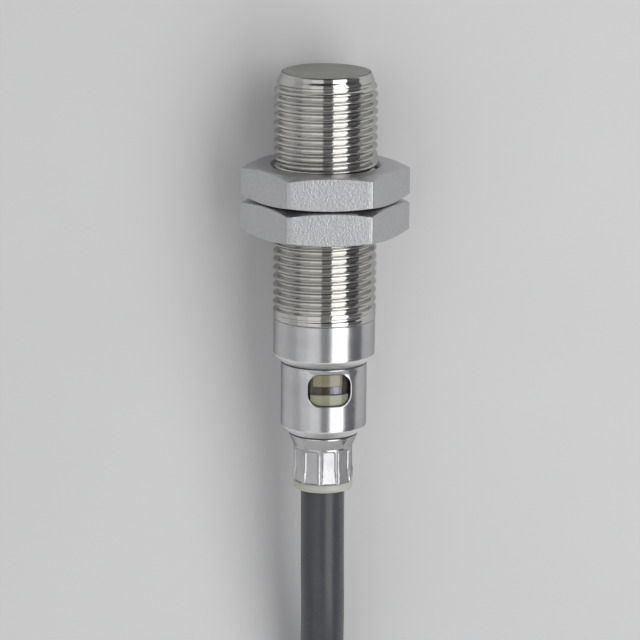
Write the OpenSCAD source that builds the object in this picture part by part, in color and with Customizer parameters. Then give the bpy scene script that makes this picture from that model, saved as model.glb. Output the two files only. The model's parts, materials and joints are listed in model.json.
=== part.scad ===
// Cylindrical M12 proximity sensor with a moulded-on cable, lying on its side.
// The axis runs along +X, the sensing face looks along +X and z = 0 is the surface it lies on.
// Places along the axis are given as the distance from the sensing face.

/* [Thread] */
// Outer diameter of the thread
thread_d = 12; // [11.9:0.05:12]
// Distance from one thread crest to the next
thread_pitch = 1; // [0.75:0.25:1]
// Where the thread ends, from the sensing face
thread_end = 28.2; // [26:0.1:28.4]

/* [Housing] */
// Length of the threaded housing
housing_l = 29; // [28.5:0.1:30]
// Inner diameter of the threaded housing
housing_bore_d = 9.8; // [9.75:0.05:9.85]
// Thickness of the closed metal face
face_t = 0.6; // [0.5:0.1:0.7]

/* [Rear shell] */
// Diameter of the collar behind the housing
collar_d = 11.8; // [11.5:0.1:12]
// Diameter of the barrel that holds the window
barrel_d = 10; // [9.8:0.1:10.4]
// Inner diameter of the barrel
barrel_bore_d = 8.1; // [8:0.05:8.2]
// Window size along the axis
window_l = 3.75; // [3:0.05:4.2]
// Window size across the axis
window_w = 4.95; // [4:0.05:5.5]
// Turn of the window about the axis, away from straight up
window_turn = 5.4; // [-20:0.1:20]

/* [Nuts] */
// Width across the flats of each nut
nut_af = 17; // [16:0.5:19]
// Thickness of each nut
nut_t = 4; // [3:0.25:5]
// Gap between the two nuts
nut_gap = 0.1; // [0.05:0.05:0.5]
// Front face of the front nut, from the sensing face
nut_start = 10.9; // [6:0.1:14]
// Running clearance between a nut and the thread crests, on the radius
nut_clearance = 0.05; // [0.02:0.01:0.1]

/* [Cable] */
// Diameter of the cable
cable_d = 5.1; // [5:0.05:5.2]
// Diameter of one insulated core
core_d = 1.3; // [1.1:0.1:1.4]
// Length of the straight sides of the hank
hank_straight = 34; // [30:1:40]
// Number of layers in the hank
hank_layers = 6; // [5:1:7]

/* [Hidden] */

round_fn = 96;
small_fn = 32;

// Colours
steel = "#b9babd";
satin_steel = "#a6a7ab";
nut_steel = "#a9aaae";
cream = "#d5d8c4";
pvc_grey = "#4a4d50";

// Thread: the 60 degree profile
thread_r = thread_d / 2;
root_r = thread_r - 0.6134 * thread_pitch;
crest_w = thread_pitch / 8;
flank_w = (thread_r - root_r) * tan(30);
first_crest = 0.4;
crest_count = floor((thread_end - first_crest) / thread_pitch);
lead_in_r = 5.16;
lead_in_l = 1.9;
plain_r = 5.95;

// Body, from the sensing face
axis_z = nut_af / 2;
collar_end = housing_l + 4.25;
chamfer_end = housing_l + 5.2;
barrel_end = housing_l + 12.75;
shoulder_end = housing_l + 13.75;
cone_end = housing_l + 15.5;
crimp_end = housing_l + 19.4;
body_l = housing_l + 20.5;
face_x = body_l / 2;
housing_bore_r = housing_bore_d / 2;
collar_r = collar_d / 2;
barrel_r = barrel_d / 2;
barrel_bore_r = barrel_bore_d / 2;
shoulder_r = 4;
neck_r = 3.35;
neck_bore_r = 2.9;
spigot_start = housing_l - 4;
spigot_r = housing_bore_r - 0.02;
window_s = housing_l + 7.75;
window_corner = 1.4;

// Crimp: flats pressed around the neck, with a narrow rib between each two
crimp_flats = 10;
crimp_apothem = 3.2;
rib_w = 0.32;
rib_r = 3.5;
crimp_turn = -9;

// O-ring between the spigot and the housing
o_ring_s = housing_l - 2.2;
o_ring_r = 0.25;
groove_r = housing_bore_r - 2 * o_ring_r;

// Light ring
ring_in_r = barrel_bore_r - 0.5;
ring_l = 5;
pad_r = barrel_r - 0.35;
pad_gap = 0.04;

// Nuts
nut_corner_r = nut_af / 2 / cos(30);
nut_bore_r = thread_r + nut_clearance;
nut_chamfer_r = nut_af / 2 - 0.4;
nut_chamfer_angle = 15;
countersink_r = 6.4;
rear_nut_start = nut_start + nut_t + nut_gap;

// Sensing end, from the sensing face
cup_r = housing_bore_r - 0.05;
cup_wall = 0.65;
cup_end = 8.6;
core_start = face_t + 0.3;
core_l = 4;
core_r = cup_r - cup_wall - 0.05;
core_post_r = 1.7;
core_window_r = 3.4;
core_back = 1;
holder_l = 3.5;
lead_r = 0.12;
lead_y = 2.6;

// Electronics, from the sensing face
board_start = 7.6;
board_end = housing_l + 12.7;
board_w = 6.6;
board_t = 0.8;
foil_start = 9;
foil_r = housing_bore_r - 0.05;
foil_t = 0.1;
resin_start = 8.6;
core_y = 1.45;
core_z = board_t / 2 + core_d / 2;
jacket_start = housing_l + 14.15;
inner_core_start = housing_l + 10;

// Hank: an outer lane wound upwards, then an inner lane wound back down
cable_r = cable_d / 2;
lane_pitch = cable_d + 0.1;
outer_lane_r = 20.5;
inner_lane_r = outer_lane_r - lane_pitch;
tie_t = 0.6;
tie_w = 4;
tie_gap = 0.05;
tie_lift = 0.05;
hank_z = tie_lift + tie_t + tie_gap;
hank_h = cable_d + (hank_layers - 1) * lane_pitch;
hank_y = -13.9;
hank_near_x = -116;
hank_far_x = hank_near_x - hank_straight;
hank_out_r = outer_lane_r + cable_r;
hank_in_r = inner_lane_r - cable_r;

// Centre lines of the cable where it is not coiled
run_route = [
    [-face_x, 0, axis_z], [-28, 0, axis_z], [-34, -0.06, 8.2], [-40, -0.2, 7.2], [-46, -0.25, 5.6],
    [-52, -0.2, 4.1], [-58, -0.1, 3.1], [-64, 0, 2.7], [-72, 0, 2.65], [-84, 0, 2.65],
    [-89, 0, 2.75], [-95, 1.2, 3], [-99.5, 3.3, 3.15], [-104, 5.4, 3.25], [-109, 6.5, 3.25], [-116, 6.6, 3.25],
];
tail_route = [
    [-150, -29.2, 3.25], [-148, -29.2, 3.25], [-144.5, -28.9, 3.2], [-141, -28, 3.1], [-137.5, -26.3, 2.9],
    [-134, -24.6, 2.7], [-130.5, -23.7, 2.6], [-127, -23.4, 2.6], [-125, -23.4, 2.6],
];
brown_route = [
    [-125, -22.7, 2.2], [-121, -22.2, 1.8], [-117, -21.2, 1.1], [-113.5, -19.7, 0.7], [-110.5, -18.2, 0.7],
];
black_route = [
    [-125, -23.4, 3.5], [-121.5, -23.4, 3], [-117.5, -23.1, 1.7], [-114, -22.4, 0.8], [-111.5, -21.6, 0.7],
];
blue_route = [
    [-125, -24.2, 2.1], [-122, -24.6, 1.6], [-119.5, -24.9, 1], [-117.5, -24.8, 0.7], [-115.5, -24.4, 0.7],
];
ferrule_l = 6;
ferrule_r = 0.5;

// Turns a profile of [distance from the face, radius] points about the sensor's axis
module turned(profile, fn = round_fn) {
    translate([face_x, 0, axis_z])
        rotate([0, 90, 0])
            rotate_extrude($fn = fn)
                polygon([for (p = profile) [p[1], -p[0]]]);
}

// A plain round bar on the axis between two distances from the face
module bar(from, to, r, fn = round_fn) {
    translate([face_x - to, 0, axis_z])
        rotate([0, 90, 0])
            cylinder(h = to - from, r = r, $fn = fn);
}

// A round bar beside the axis
module side_bar(from, to, r, y, z) {
    translate([0, y, z])
        bar(from, to, r, small_fn);
}

// A block on the circuit board: s is its middle, side is 1 on top and -1 below
module chip(s, y, size, side = 1) {
    z = side > 0 ? board_t / 2 : -board_t / 2 - size[2];
    translate([face_x - s - size[0] / 2, y - size[1] / 2, axis_z + z])
        cube(size);
}

// A rectangle with round corners, centred
module rounded_rectangle(l, w, r) {
    square([l - 2 * r, w], center = true);
    square([l, w - 2 * r], center = true);
    for (x = [-1, 1], y = [-1, 1])
        translate([x * (l / 2 - r), y * (w / 2 - r)])
            circle(r = r, $fn = small_fn);
}

// The window's outline as a bar that points outwards from the axis
module window_bar(gap, r) {
    translate([face_x - window_s, 0, axis_z])
        rotate([window_turn, 0, 0])
            translate([0, 0, 3])
                linear_extrude(height = r - 3)
                    rounded_rectangle(window_l - 2 * gap, window_w - 2 * gap, window_corner - gap);
}

// Thread grooves are rings with the pitch and profile of the thread
function groove_points(s) = [
    [s + crest_w / 2, thread_r],
    [s + crest_w / 2 + flank_w, root_r],
    [s + thread_pitch - crest_w / 2 - flank_w, root_r],
    [s + thread_pitch - crest_w / 2, thread_r],
];

module threaded_housing() {
    grooves = [for (i = [0:crest_count - 1]) each groove_points(first_crest + i * thread_pitch)];
    last = first_crest + crest_count * thread_pitch + crest_w / 2;
    color(steel)
        difference() {
            intersection() {
                turned(concat(
                    [[0, 0], [0, thread_r]],
                    grooves,
                    [[last, thread_r], [last + 0.1, plain_r], [housing_l, plain_r], [housing_l, 0]]
                ));
                turned([
                    [0, 0], [0, lead_in_r], [lead_in_l, thread_r + 0.01],
                    [housing_l, thread_r + 0.01], [housing_l, 0],
                ]);
            }
            bar(face_t, housing_l + 1, housing_bore_r);
        }
}

module nut(start) {
    over = 1;
    rise = tan(nut_chamfer_angle) * (nut_corner_r + over - nut_chamfer_r);
    sink = countersink_r - nut_bore_r;
    color(nut_steel)
        difference() {
            intersection() {
                translate([face_x - start - nut_t, 0, axis_z])
                    rotate([0, 90, 0])
                        rotate([0, 0, 30])
                            cylinder(h = nut_t, r = nut_corner_r, $fn = 6);
                turned([
                    [start, 0], [start, nut_chamfer_r], [start + rise, nut_corner_r + over],
                    [start + nut_t - rise, nut_corner_r + over], [start + nut_t, nut_chamfer_r],
                    [start + nut_t, 0],
                ]);
            }
            bar(start - 1, start + nut_t + 1, nut_bore_r);
            turned([[start - 0.1, 0], [start - 0.1, countersink_r + 0.1], [start + sink, nut_bore_r], [start + sink, 0]]);
            turned([
                [start + nut_t + 0.1, 0], [start + nut_t + 0.1, countersink_r + 0.1],
                [start + nut_t - sink, nut_bore_r], [start + nut_t - sink, 0],
            ]);
        }
}

module front_nut() {
    nut(nut_start);
}

module rear_nut() {
    nut(rear_nut_start);
}

// The pressed part of the neck: a many-sided bar with ribs on its corners
module crimped_neck() {
    flat_corner_r = crimp_apothem / cos(180 / crimp_flats);
    translate([face_x - crimp_end, 0, axis_z])
        rotate([0, 90, 0])
            linear_extrude(height = crimp_end - cone_end)
                rotate(crimp_turn) {
                    polygon([
                        for (i = [0:crimp_flats - 1])
                            flat_corner_r * [cos(i * 360 / crimp_flats), sin(i * 360 / crimp_flats)]
                    ]);
                    for (i = [0:crimp_flats - 1])
                        rotate(i * 360 / crimp_flats)
                            translate([0, -rib_w / 2])
                                square([rib_r, rib_w]);
                }
}

module rear_shell() {
    color(satin_steel)
        difference() {
            union() {
                turned([
                    [spigot_start, 0], [spigot_start, spigot_r],
                    [o_ring_s - o_ring_r, spigot_r], [o_ring_s - o_ring_r, groove_r],
                    [o_ring_s + o_ring_r, groove_r], [o_ring_s + o_ring_r, spigot_r],
                    [housing_l, spigot_r], [housing_l, collar_r],
                    [collar_end, collar_r], [chamfer_end, barrel_r], [barrel_end, barrel_r],
                    [barrel_end + 0.5, barrel_r - 0.3], [shoulder_end, shoulder_r],
                    [cone_end, neck_r], [cone_end, 0],
                ]);
                crimped_neck();
            }
            bar(spigot_start - 1, barrel_end - 0.6, barrel_bore_r);
            turned([
                [barrel_end - 0.6, 0], [barrel_end - 0.6, barrel_bore_r],
                [shoulder_end, neck_bore_r], [shoulder_end, 0],
            ]);
            bar(shoulder_end, crimp_end + 1, neck_bore_r);
            window_bar(0, barrel_r + 1);
        }
}

// A split ring that springs into the barrel, with a raised pad that fills the window
module light_ring() {
    color(cream)
        difference() {
            union() {
                bar(window_s - ring_l / 2, window_s + ring_l / 2, barrel_bore_r);
                intersection() {
                    window_bar(pad_gap, barrel_r);
                    bar(window_s - ring_l, window_s + ring_l, pad_r);
                }
            }
            bar(window_s - ring_l, window_s + ring_l, ring_in_r);
            translate([face_x - window_s, 0, axis_z])
                rotate([window_turn, 0, 0])
                    translate([0, 0, -barrel_r / 2])
                        cube([ring_l + 1, 0.6, barrel_r], center = true);
        }
}

module housing_o_ring() {
    color("#202122")
        translate([face_x - o_ring_s, 0, axis_z])
            rotate([0, 90, 0])
                rotate_extrude($fn = round_fn)
                    translate([housing_bore_r - o_ring_r, 0])
                        circle(r = o_ring_r, $fn = small_fn);
}

module cable_seal() {
    color(cream)
        turned([
            [shoulder_end + 0.2, cable_r], [shoulder_end + 0.2, neck_bore_r],
            [crimp_end, neck_bore_r], [crimp_end, 3.45], [crimp_end + 0.5, 3.5],
            [crimp_end + 0.9, 3.42], [crimp_end + 1.05, 3.2], [body_l, 2.8], [body_l, cable_r],
        ]);
}

module coil_cup() {
    color("#2c2e31")
        turned([
            [face_t, 0], [face_t, cup_r], [cup_end, cup_r], [cup_end, cup_r - cup_wall],
            [core_start, cup_r - cup_wall], [core_start, 0],
        ]);
}

module lead_holes(from, to) {
    for (y = [-lead_y, lead_y])
        side_bar(from, to, 2.5 * lead_r, y, board_t / 2 + lead_r);
}

module ferrite_core() {
    back = core_start + core_l - core_back;
    end = core_start + core_l;
    color("#3b3a3c")
        difference() {
            turned([
                [core_start, 0], [core_start, core_post_r], [back, core_post_r],
                [back, core_window_r], [core_start, core_window_r], [core_start, core_r],
                [end, core_r], [end, 0],
            ]);
            lead_holes(back - 0.5, end + 0.5);
        }
}

// The bobbin fills the core's window, less a small gap all round
bobbin_from = core_start + 0.1;
bobbin_to = core_start + core_l - core_back - 0.1;
bobbin_in_r = core_post_r + 0.05;
bobbin_out_r = core_window_r - 0.1;
bobbin_t = 0.25;

module coil_bobbin() {
    color("#e8e4d6")
        turned([
            [bobbin_from, bobbin_in_r], [bobbin_from, bobbin_out_r],
            [bobbin_from + bobbin_t, bobbin_out_r], [bobbin_from + bobbin_t, bobbin_in_r + bobbin_t],
            [bobbin_to - bobbin_t, bobbin_in_r + bobbin_t], [bobbin_to - bobbin_t, bobbin_out_r],
            [bobbin_to, bobbin_out_r], [bobbin_to, bobbin_in_r],
        ]);
}

module coil_winding() {
    color("#b4632d")
        turned([
            [bobbin_from + bobbin_t, bobbin_in_r + bobbin_t],
            [bobbin_from + bobbin_t, bobbin_out_r - 0.15],
            [bobbin_to - bobbin_t, bobbin_out_r - 0.15],
            [bobbin_to - bobbin_t, bobbin_in_r + bobbin_t],
        ]);
}

module coil_leads() {
    color("#b4632d")
        for (y = [-lead_y, lead_y])
            side_bar(bobbin_to, board_start + 1.4, lead_r, y, board_t / 2 + lead_r);
}

module core_holder() {
    start = core_start + core_l;
    color("#d9d5c6")
        difference() {
            bar(start, start + holder_l, core_r);
            lead_holes(start - 1, start + holder_l + 1);
            translate([face_x - start - holder_l - 1, -board_w / 2 - 0.02, axis_z - board_t / 2])
                cube([start + holder_l + 1 - board_start, board_w + 0.04, board_t]);
        }
}

module circuit_board() {
    color("#2f6b3c")
        translate([face_x - board_end, -board_w / 2, axis_z - board_t / 2])
            cube([board_end - board_start, board_w, board_t]);
}

module sensor_chip() {
    color("#1d1e20")
        chip(13, 0, [3, 3, 0.9]);
}

module output_driver() {
    color("#1d1e20")
        chip(21, 0.8, [2.9, 1.6, 1.1]);
}

module voltage_regulator() {
    color("#1d1e20")
        chip(16, -0.6, [2.9, 1.6, 1.1], -1);
}

module capacitors() {
    color("#a98254") {
        for (s = [16.5, 18.2])
            for (y = [-1.7, 1.7])
                chip(s, y, [0.8, 1.6, 0.8]);
        for (s = [20, 22.5, 28])
            chip(s, 0, [1, 2, 0.9], -1);
    }
}

module resistors() {
    color("#303136") {
        for (s = [25, 27, 29, 31])
            for (y = [-1.3, 1.3])
                chip(s, y, [0.5, 1, 0.35]);
        for (s = [33.5, 35.5])
            chip(s, 0, [0.5, 1, 0.35], -1);
    }
}

module status_led() {
    color("#f3efd8")
        chip(window_s, -0.3, [0.8, 1.6, 0.7]);
}

module screening_foil() {
    color("#c98f4e")
        turned([
            [foil_start, foil_r - foil_t], [foil_start, foil_r],
            [spigot_start - 0.2, foil_r], [spigot_start - 0.2, foil_r - foil_t],
        ]);
}

// Resin fills the room around the electronics
module potting_resin() {
    color("#d8d3b4")
        difference() {
            turned([
                [resin_start, 0], [resin_start, foil_r - foil_t], [spigot_start - 0.2, foil_r - foil_t],
                [spigot_start - 0.2, barrel_bore_r], [window_s - ring_l / 2, barrel_bore_r],
                [window_s - ring_l / 2, ring_in_r], [window_s + ring_l / 2, ring_in_r],
                [window_s + ring_l / 2, barrel_bore_r], [barrel_end - 0.6, barrel_bore_r],
                [shoulder_end, neck_bore_r], [shoulder_end, 0],
            ]);
            circuit_board();
            coil_leads();
            sensor_chip();
            output_driver();
            voltage_regulator();
            capacitors();
            resistors();
            status_led();
            for (y = [-core_y, 0, core_y])
                side_bar(inner_core_start, shoulder_end + 1, core_d / 2, y, core_z);
        }
}

module inner_core(y) {
    side_bar(inner_core_start, jacket_start, core_d / 2, y, core_z);
}

module inner_core_brown() {
    color("#5d3a22")
        inner_core(-core_y);
}

module inner_core_black() {
    color("#1b1b1c")
        inner_core(0);
}

module inner_core_blue() {
    color("#27549b")
        inner_core(core_y);
}

module cable_entry() {
    color(pvc_grey)
        bar(jacket_start, body_l, cable_r);
}

// A round tube of n sides swept through a list of points
function direction(v) = v / norm(v);
function tangent(path, i) = direction(
    path[min(i + 1, len(path) - 1)] - path[max(i - 1, 0)]
);
function ring(path, i, r, n) =
    let (t = tangent(path, i), u = direction(cross(t, [0, 1, 0])), v = cross(t, u))
    [for (k = [0:n - 1]) path[i] + r * (cos(k * 360 / n) * u + sin(k * 360 / n) * v)];

module swept_tube(path, r, n) {
    rings = len(path);
    polyhedron(
        points = [for (i = [0:rings - 1]) each ring(path, i, r, n)],
        faces = concat(
            [[for (k = [0:n - 1]) n - 1 - k]],
            [
                for (i = [0:rings - 2], k = [0:n - 1])
                    [i * n + k, i * n + (k + 1) % n, (i + 1) * n + (k + 1) % n, (i + 1) * n + k]
            ],
            [[for (k = [0:n - 1]) (rings - 1) * n + k]]
        )
    );
}

module cable_run() {
    color(pvc_grey)
        swept_tube(run_route, cable_r, 12);
}

module stadium(r) {
    square([hank_straight, 2 * r], center = true);
    for (x = [-1, 1])
        translate([x * hank_straight / 2, 0])
            circle(r = r, $fn = round_fn);
}

module cable_hank() {
    color(pvc_grey)
        translate([(hank_near_x + hank_far_x) / 2, hank_y, hank_z])
            linear_extrude(height = hank_h)
                difference() {
                    stadium(hank_out_r);
                    stadium(hank_in_r);
                }
}

module cable_tail() {
    color(pvc_grey)
        swept_tube(tail_route, cable_r, 12);
}

module tail_core_brown() {
    color("#5d3a22")
        swept_tube(brown_route, core_d / 2, 8);
}

module tail_core_black() {
    color("#1b1b1c")
        swept_tube(black_route, core_d / 2, 8);
}

module tail_core_blue() {
    color("#27549b")
        swept_tube(blue_route, core_d / 2, 8);
}

// Crimped wire ends, one on each core
module core_ferrules() {
    color("#c8cacc")
        for (route = [brown_route, black_route, blue_route]) {
            end = route[len(route) - 1];
            along = direction(end - route[len(route) - 2]);
            translate(end)
                rotate([0, 0, atan2(along[1], along[0])])
                    rotate([0, 90, 0])
                        cylinder(h = ferrule_l, r = ferrule_r, $fn = small_fn);
        }
}

// The outline of a band stretched around round strands, given their centres in turn
module band(centres, r) {
    polygon([
        for (i = [0:len(centres) - 1])
            let (
                from = centres[i],
                to = centres[(i + 1) % len(centres)],
                d = direction(to - from),
                out = [d[1], -d[0]]
            )
            each [from + r * out, to + r * out]
    ]);
    for (c = centres)
        translate(c)
            circle(r = r, $fn = small_fn);
}

// A band around the strands on both lanes; the strand with the lower y is one layer lower
module hank_tie(x, side) {
    mid_y = hank_y + side * (outer_lane_r + inner_lane_r) / 2;
    half = lane_pitch / 2;
    top = (hank_layers - 1) * lane_pitch;
    centres = [[-half, 0], [half, 0], [half, top], [-half, top - lane_pitch]];
    color("#1f2022")
        translate([x, mid_y, hank_z + cable_r])
            rotate([90, 0, 90])
                linear_extrude(height = tie_w, center = true)
                    difference() {
                        band(centres, cable_r + tie_gap + tie_t);
                        band(centres, cable_r + tie_gap);
                    }
}

module hank_tie_front() {
    hank_tie(hank_near_x - hank_straight / 2, 1);
}

module hank_tie_rear() {
    hank_tie(hank_far_x + 3, -1);
}

threaded_housing();
front_nut();
rear_nut();
rear_shell();
light_ring();
housing_o_ring();
cable_seal();
coil_cup();
ferrite_core();
coil_bobbin();
coil_winding();
coil_leads();
core_holder();
circuit_board();
sensor_chip();
output_driver();
voltage_regulator();
capacitors();
resistors();
status_led();
screening_foil();
potting_resin();
inner_core_brown();
inner_core_black();
inner_core_blue();
cable_entry();
cable_run();
cable_hank();
cable_tail();
tail_core_brown();
tail_core_black();
tail_core_blue();
core_ferrules();
hank_tie_front();
hank_tie_rear();
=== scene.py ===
"""M12 proximity sensor with a fixed cable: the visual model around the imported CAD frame."""
import json
import math

import bmesh
import bpy
from mathutils import Matrix, Vector


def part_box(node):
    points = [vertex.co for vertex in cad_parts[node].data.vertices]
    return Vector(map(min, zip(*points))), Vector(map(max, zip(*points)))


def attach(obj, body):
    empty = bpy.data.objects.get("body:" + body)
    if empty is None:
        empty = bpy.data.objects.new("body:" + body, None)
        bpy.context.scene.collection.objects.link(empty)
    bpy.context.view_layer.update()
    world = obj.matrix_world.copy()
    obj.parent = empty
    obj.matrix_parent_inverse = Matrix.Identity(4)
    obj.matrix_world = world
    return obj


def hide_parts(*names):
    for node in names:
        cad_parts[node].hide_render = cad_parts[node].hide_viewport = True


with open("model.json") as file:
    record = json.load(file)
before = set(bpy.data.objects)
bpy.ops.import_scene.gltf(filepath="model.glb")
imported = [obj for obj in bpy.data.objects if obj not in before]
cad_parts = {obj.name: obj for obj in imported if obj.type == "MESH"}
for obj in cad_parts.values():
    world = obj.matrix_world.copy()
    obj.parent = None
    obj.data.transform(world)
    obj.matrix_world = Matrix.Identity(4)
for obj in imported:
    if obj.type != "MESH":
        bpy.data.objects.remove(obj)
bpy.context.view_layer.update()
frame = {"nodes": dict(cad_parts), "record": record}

MM = 0.001
DEG = math.pi / 180

# ---------------------------------------------------------------- places, from the frame
housing_lo, housing_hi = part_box("threaded_housing")
FACE_X = housing_hi[0] / MM
AXIS_Z = (housing_lo[2] + housing_hi[2]) / 2 / MM
HOUSING_L = (housing_hi[0] - housing_lo[0]) / MM
THREAD_R = (housing_hi[1] - housing_lo[1]) / 2 / MM


def s_range(node):
    """Where a node starts and ends along the axis, in mm from the sensing face."""
    lo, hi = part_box(node)
    return FACE_X - hi[0] / MM, FACE_X - lo[0] / MM


SHELL_END = s_range("rear_shell")[1]
BODY_L = s_range("cable_seal")[1]
WINDOW_S = sum(s_range("status_led")) / 2


def place(s, r, phi):
    """A point s mm behind the face and r mm from the axis; phi turns from up towards -Y."""
    return Vector(((FACE_X - s) * MM, -r * math.sin(phi) * MM, (AXIS_Z + r * math.cos(phi)) * MM))


def smoothstep(a, b, x):
    t = min(1.0, max(0.0, (x - a) / (b - a)))
    return t * t * (3 - 2 * t)


# ---------------------------------------------------------------- camera
ELEVATION = 13.0 * DEG
SIDEWAYS = 3.6 * DEG
CAMERA_D = 0.600
FRAME_W = 0.0744
aim = Vector(((FACE_X - 29.4) * MM, 0.00049, AXIS_Z * MM))
to_camera = Vector((
    math.sin(ELEVATION),
    math.cos(ELEVATION) * math.sin(SIDEWAYS),
    math.cos(ELEVATION) * math.cos(SIDEWAYS),
))
camera = bpy.data.objects.new("camera", bpy.data.cameras.new("camera"))
bpy.context.collection.objects.link(camera)
bpy.context.scene.camera = camera
camera.data.sensor_width = 36
camera.data.lens = 36 * CAMERA_D / FRAME_W
camera.data.clip_start = 0.01
camera.data.clip_end = 20
up = Vector((1, 0, 0))
up = (up - up.dot(to_camera) * to_camera).normalized()
right = up.cross(to_camera)
ROLL = 0.51 * DEG
up, right = (
    math.cos(ROLL) * up - math.sin(ROLL) * right,
    math.cos(ROLL) * right + math.sin(ROLL) * up,
)
turn = Matrix((right, up, to_camera)).transposed().to_4x4()
camera.matrix_world = Matrix.Translation(aim + CAMERA_D * to_camera) @ turn

# ---------------------------------------------------------------- cable routes, in mm
CABLE_D = 5.1
CORE_D = 1.3
LANE_PITCH = 5.2
RUN_ROUTE = [
    (-24.75, 0, 8.5), (-28, 0, 8.5), (-34, -0.06, 8.2), (-40, -0.2, 7.2), (-46, -0.25, 5.6),
    (-52, -0.2, 4.1), (-58, -0.1, 3.1), (-64, 0, 2.7), (-72, 0, 2.65), (-84, 0, 2.65),
    (-89, 0, 2.75), (-95, 1.2, 3), (-99.5, 3.3, 3.15), (-104, 5.4, 3.25), (-109, 6.5, 3.25),
    (-116, 6.6, 3.25),
]
TAIL_ROUTE = [
    (-150, -29.2, 3.25), (-148, -29.2, 3.25), (-144.5, -28.9, 3.2), (-141, -28, 3.1), (-137.5, -26.3, 2.9),
    (-134, -24.6, 2.7), (-130.5, -23.7, 2.6), (-127, -23.4, 2.6), (-125, -23.4, 2.6),
]
CORE_ROUTES = {
    "brown": [
        (-125, -22.7, 2.2), (-121, -22.2, 1.8), (-117, -21.2, 1.1),
        (-113.5, -19.7, 0.7), (-110.5, -18.2, 0.7),
    ],
    "black": [
        (-125, -23.4, 3.5), (-121.5, -23.4, 3), (-117.5, -23.1, 1.7),
        (-114, -22.4, 0.8), (-111.5, -21.6, 0.7),
    ],
    "blue": [
        (-125, -24.2, 2.1), (-122, -24.6, 1.6), (-119.5, -24.9, 1),
        (-117.5, -24.8, 0.7), (-115.5, -24.4, 0.7),
    ],
}
HANK_NEAR_X, HANK_FAR_X, HANK_Y = -116, -150, -13.9
OUTER_R, INNER_R = 20.5, 15.3
LAYERS = 6
LAYER_Z = RUN_ROUTE[-1][2]


def smooth_route(points, per_span):
    """A smooth line through given points (Catmull-Rom)."""
    pts = [Vector(p) for p in points]
    ends = [2 * pts[0] - pts[1]] + pts + [2 * pts[-1] - pts[-2]]
    line = []
    for a, b, c, d in zip(ends, ends[1:], ends[2:], ends[3:]):
        for k in range(per_span):
            t = k / per_span
            line.append(0.5 * (
                2 * b + (c - a) * t + (2 * a - 5 * b + 4 * c - d) * t * t
                + (3 * b - a - 3 * c + d) * t ** 3
            ))
    return line + [pts[-1]]


def fold(x, r, y, z_from, z_to, near):
    """Half a turn of the hank: from the -Y side round the near end, or from +Y round the far end."""
    steps = 20
    side, out = (-1, 1) if near else (1, -1)
    # a climbing fold reaches its layer before its end
    climbed = 0.85 if z_to > z_from else 1
    points = []
    for i in range(1, steps):
        angle = math.pi * i / steps
        z = z_from + (z_to - z_from) * smoothstep(0, climbed, i / steps)
        points.append(Vector((x + out * r * math.sin(angle), y + side * r * math.cos(angle), z)))
    return points


def hank_line():
    """The outer lane wound upwards, then the inner lane wound back down to the surface."""
    lanes = [(OUTER_R, layer, 1) for layer in range(LAYERS)]
    lanes += [(INNER_R, layer, -1) for layer in reversed(range(LAYERS))]
    points = []
    for turn, (r, layer, step) in enumerate(lanes[:-1]):
        z = LAYER_Z + layer * LANE_PITCH
        if turn == LAYERS - 1:      # over to the inner lane, round the far end
            points.append(Vector((HANK_FAR_X, HANK_Y + r, z)))
            points += fold(HANK_FAR_X, (r + INNER_R) / 2, HANK_Y + (r - INNER_R) / 2, z, z, False)
            continue
        if turn < LAYERS - 1:       # +Y side, far end, -Y side, near end
            points.append(Vector((HANK_FAR_X, HANK_Y + r, z)))
            points += fold(HANK_FAR_X, r, HANK_Y, z, z, False)
        points.append(Vector((HANK_FAR_X, HANK_Y - r, z)))
        points.append(Vector((HANK_NEAR_X, HANK_Y - r, z)))
        below = z + step * LANE_PITCH
        points += fold(HANK_NEAR_X, r, HANK_Y, z, below, True)
        points.append(Vector((HANK_NEAR_X, HANK_Y + r, below)))
        if turn >= LAYERS:
            points.append(Vector((HANK_FAR_X, HANK_Y + r, below)))
            points += fold(HANK_FAR_X, r, HANK_Y, below, below, False)
    return points


jacket_line = smooth_route(RUN_ROUTE, 4) + hank_line() + smooth_route(TAIL_ROUTE, 4)


# ---------------------------------------------------------------- mesh building
def mesh_piece(name, verts, faces, sharp=32, body="root"):
    """A closed mesh with smooth shading, split at edges sharper than the angle given."""
    data = bpy.data.meshes.new(name)
    data.from_pydata([tuple(v) for v in verts], [], faces)
    work = bmesh.new()
    work.from_mesh(data)
    bmesh.ops.recalc_face_normals(work, faces=work.faces)
    work.to_mesh(data)
    work.free()
    for polygon in data.polygons:
        polygon.use_smooth = True
    data.set_sharp_from_angle(angle=sharp * DEG)
    piece = bpy.data.objects.new(name, data)
    bpy.context.collection.objects.link(piece)
    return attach(piece, body)


def strip(a, b, n):
    """Faces between two closed rings of n points that start at a and b."""
    return [(a + i, a + (i + 1) % n, b + (i + 1) % n, b + i) for i in range(n)]


def sweep(sections, loop=False):
    """Joins closed sections of points one after another; the ends are capped unless they meet."""
    n = len(sections[0])
    verts = [point for section in sections for point in section]
    faces = []
    for k in range(len(sections) - 1):
        faces += strip(k * n, (k + 1) * n, n)
    if loop:
        faces += strip((len(sections) - 1) * n, 0, n)
    else:
        faces += [tuple(range(n)), tuple(range((len(sections) - 1) * n, len(sections) * n))]
    return verts, faces


def joined(parts):
    """Several closed shapes as one list of points and faces, with each face's shape number."""
    verts, faces, numbers = [], [], []
    for number, (part_verts, part_faces) in enumerate(parts):
        base = len(verts)
        verts += part_verts
        faces += [tuple(base + i for i in face) for face in part_faces]
        numbers += [number] * len(part_faces)
    return verts, faces, numbers


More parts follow.
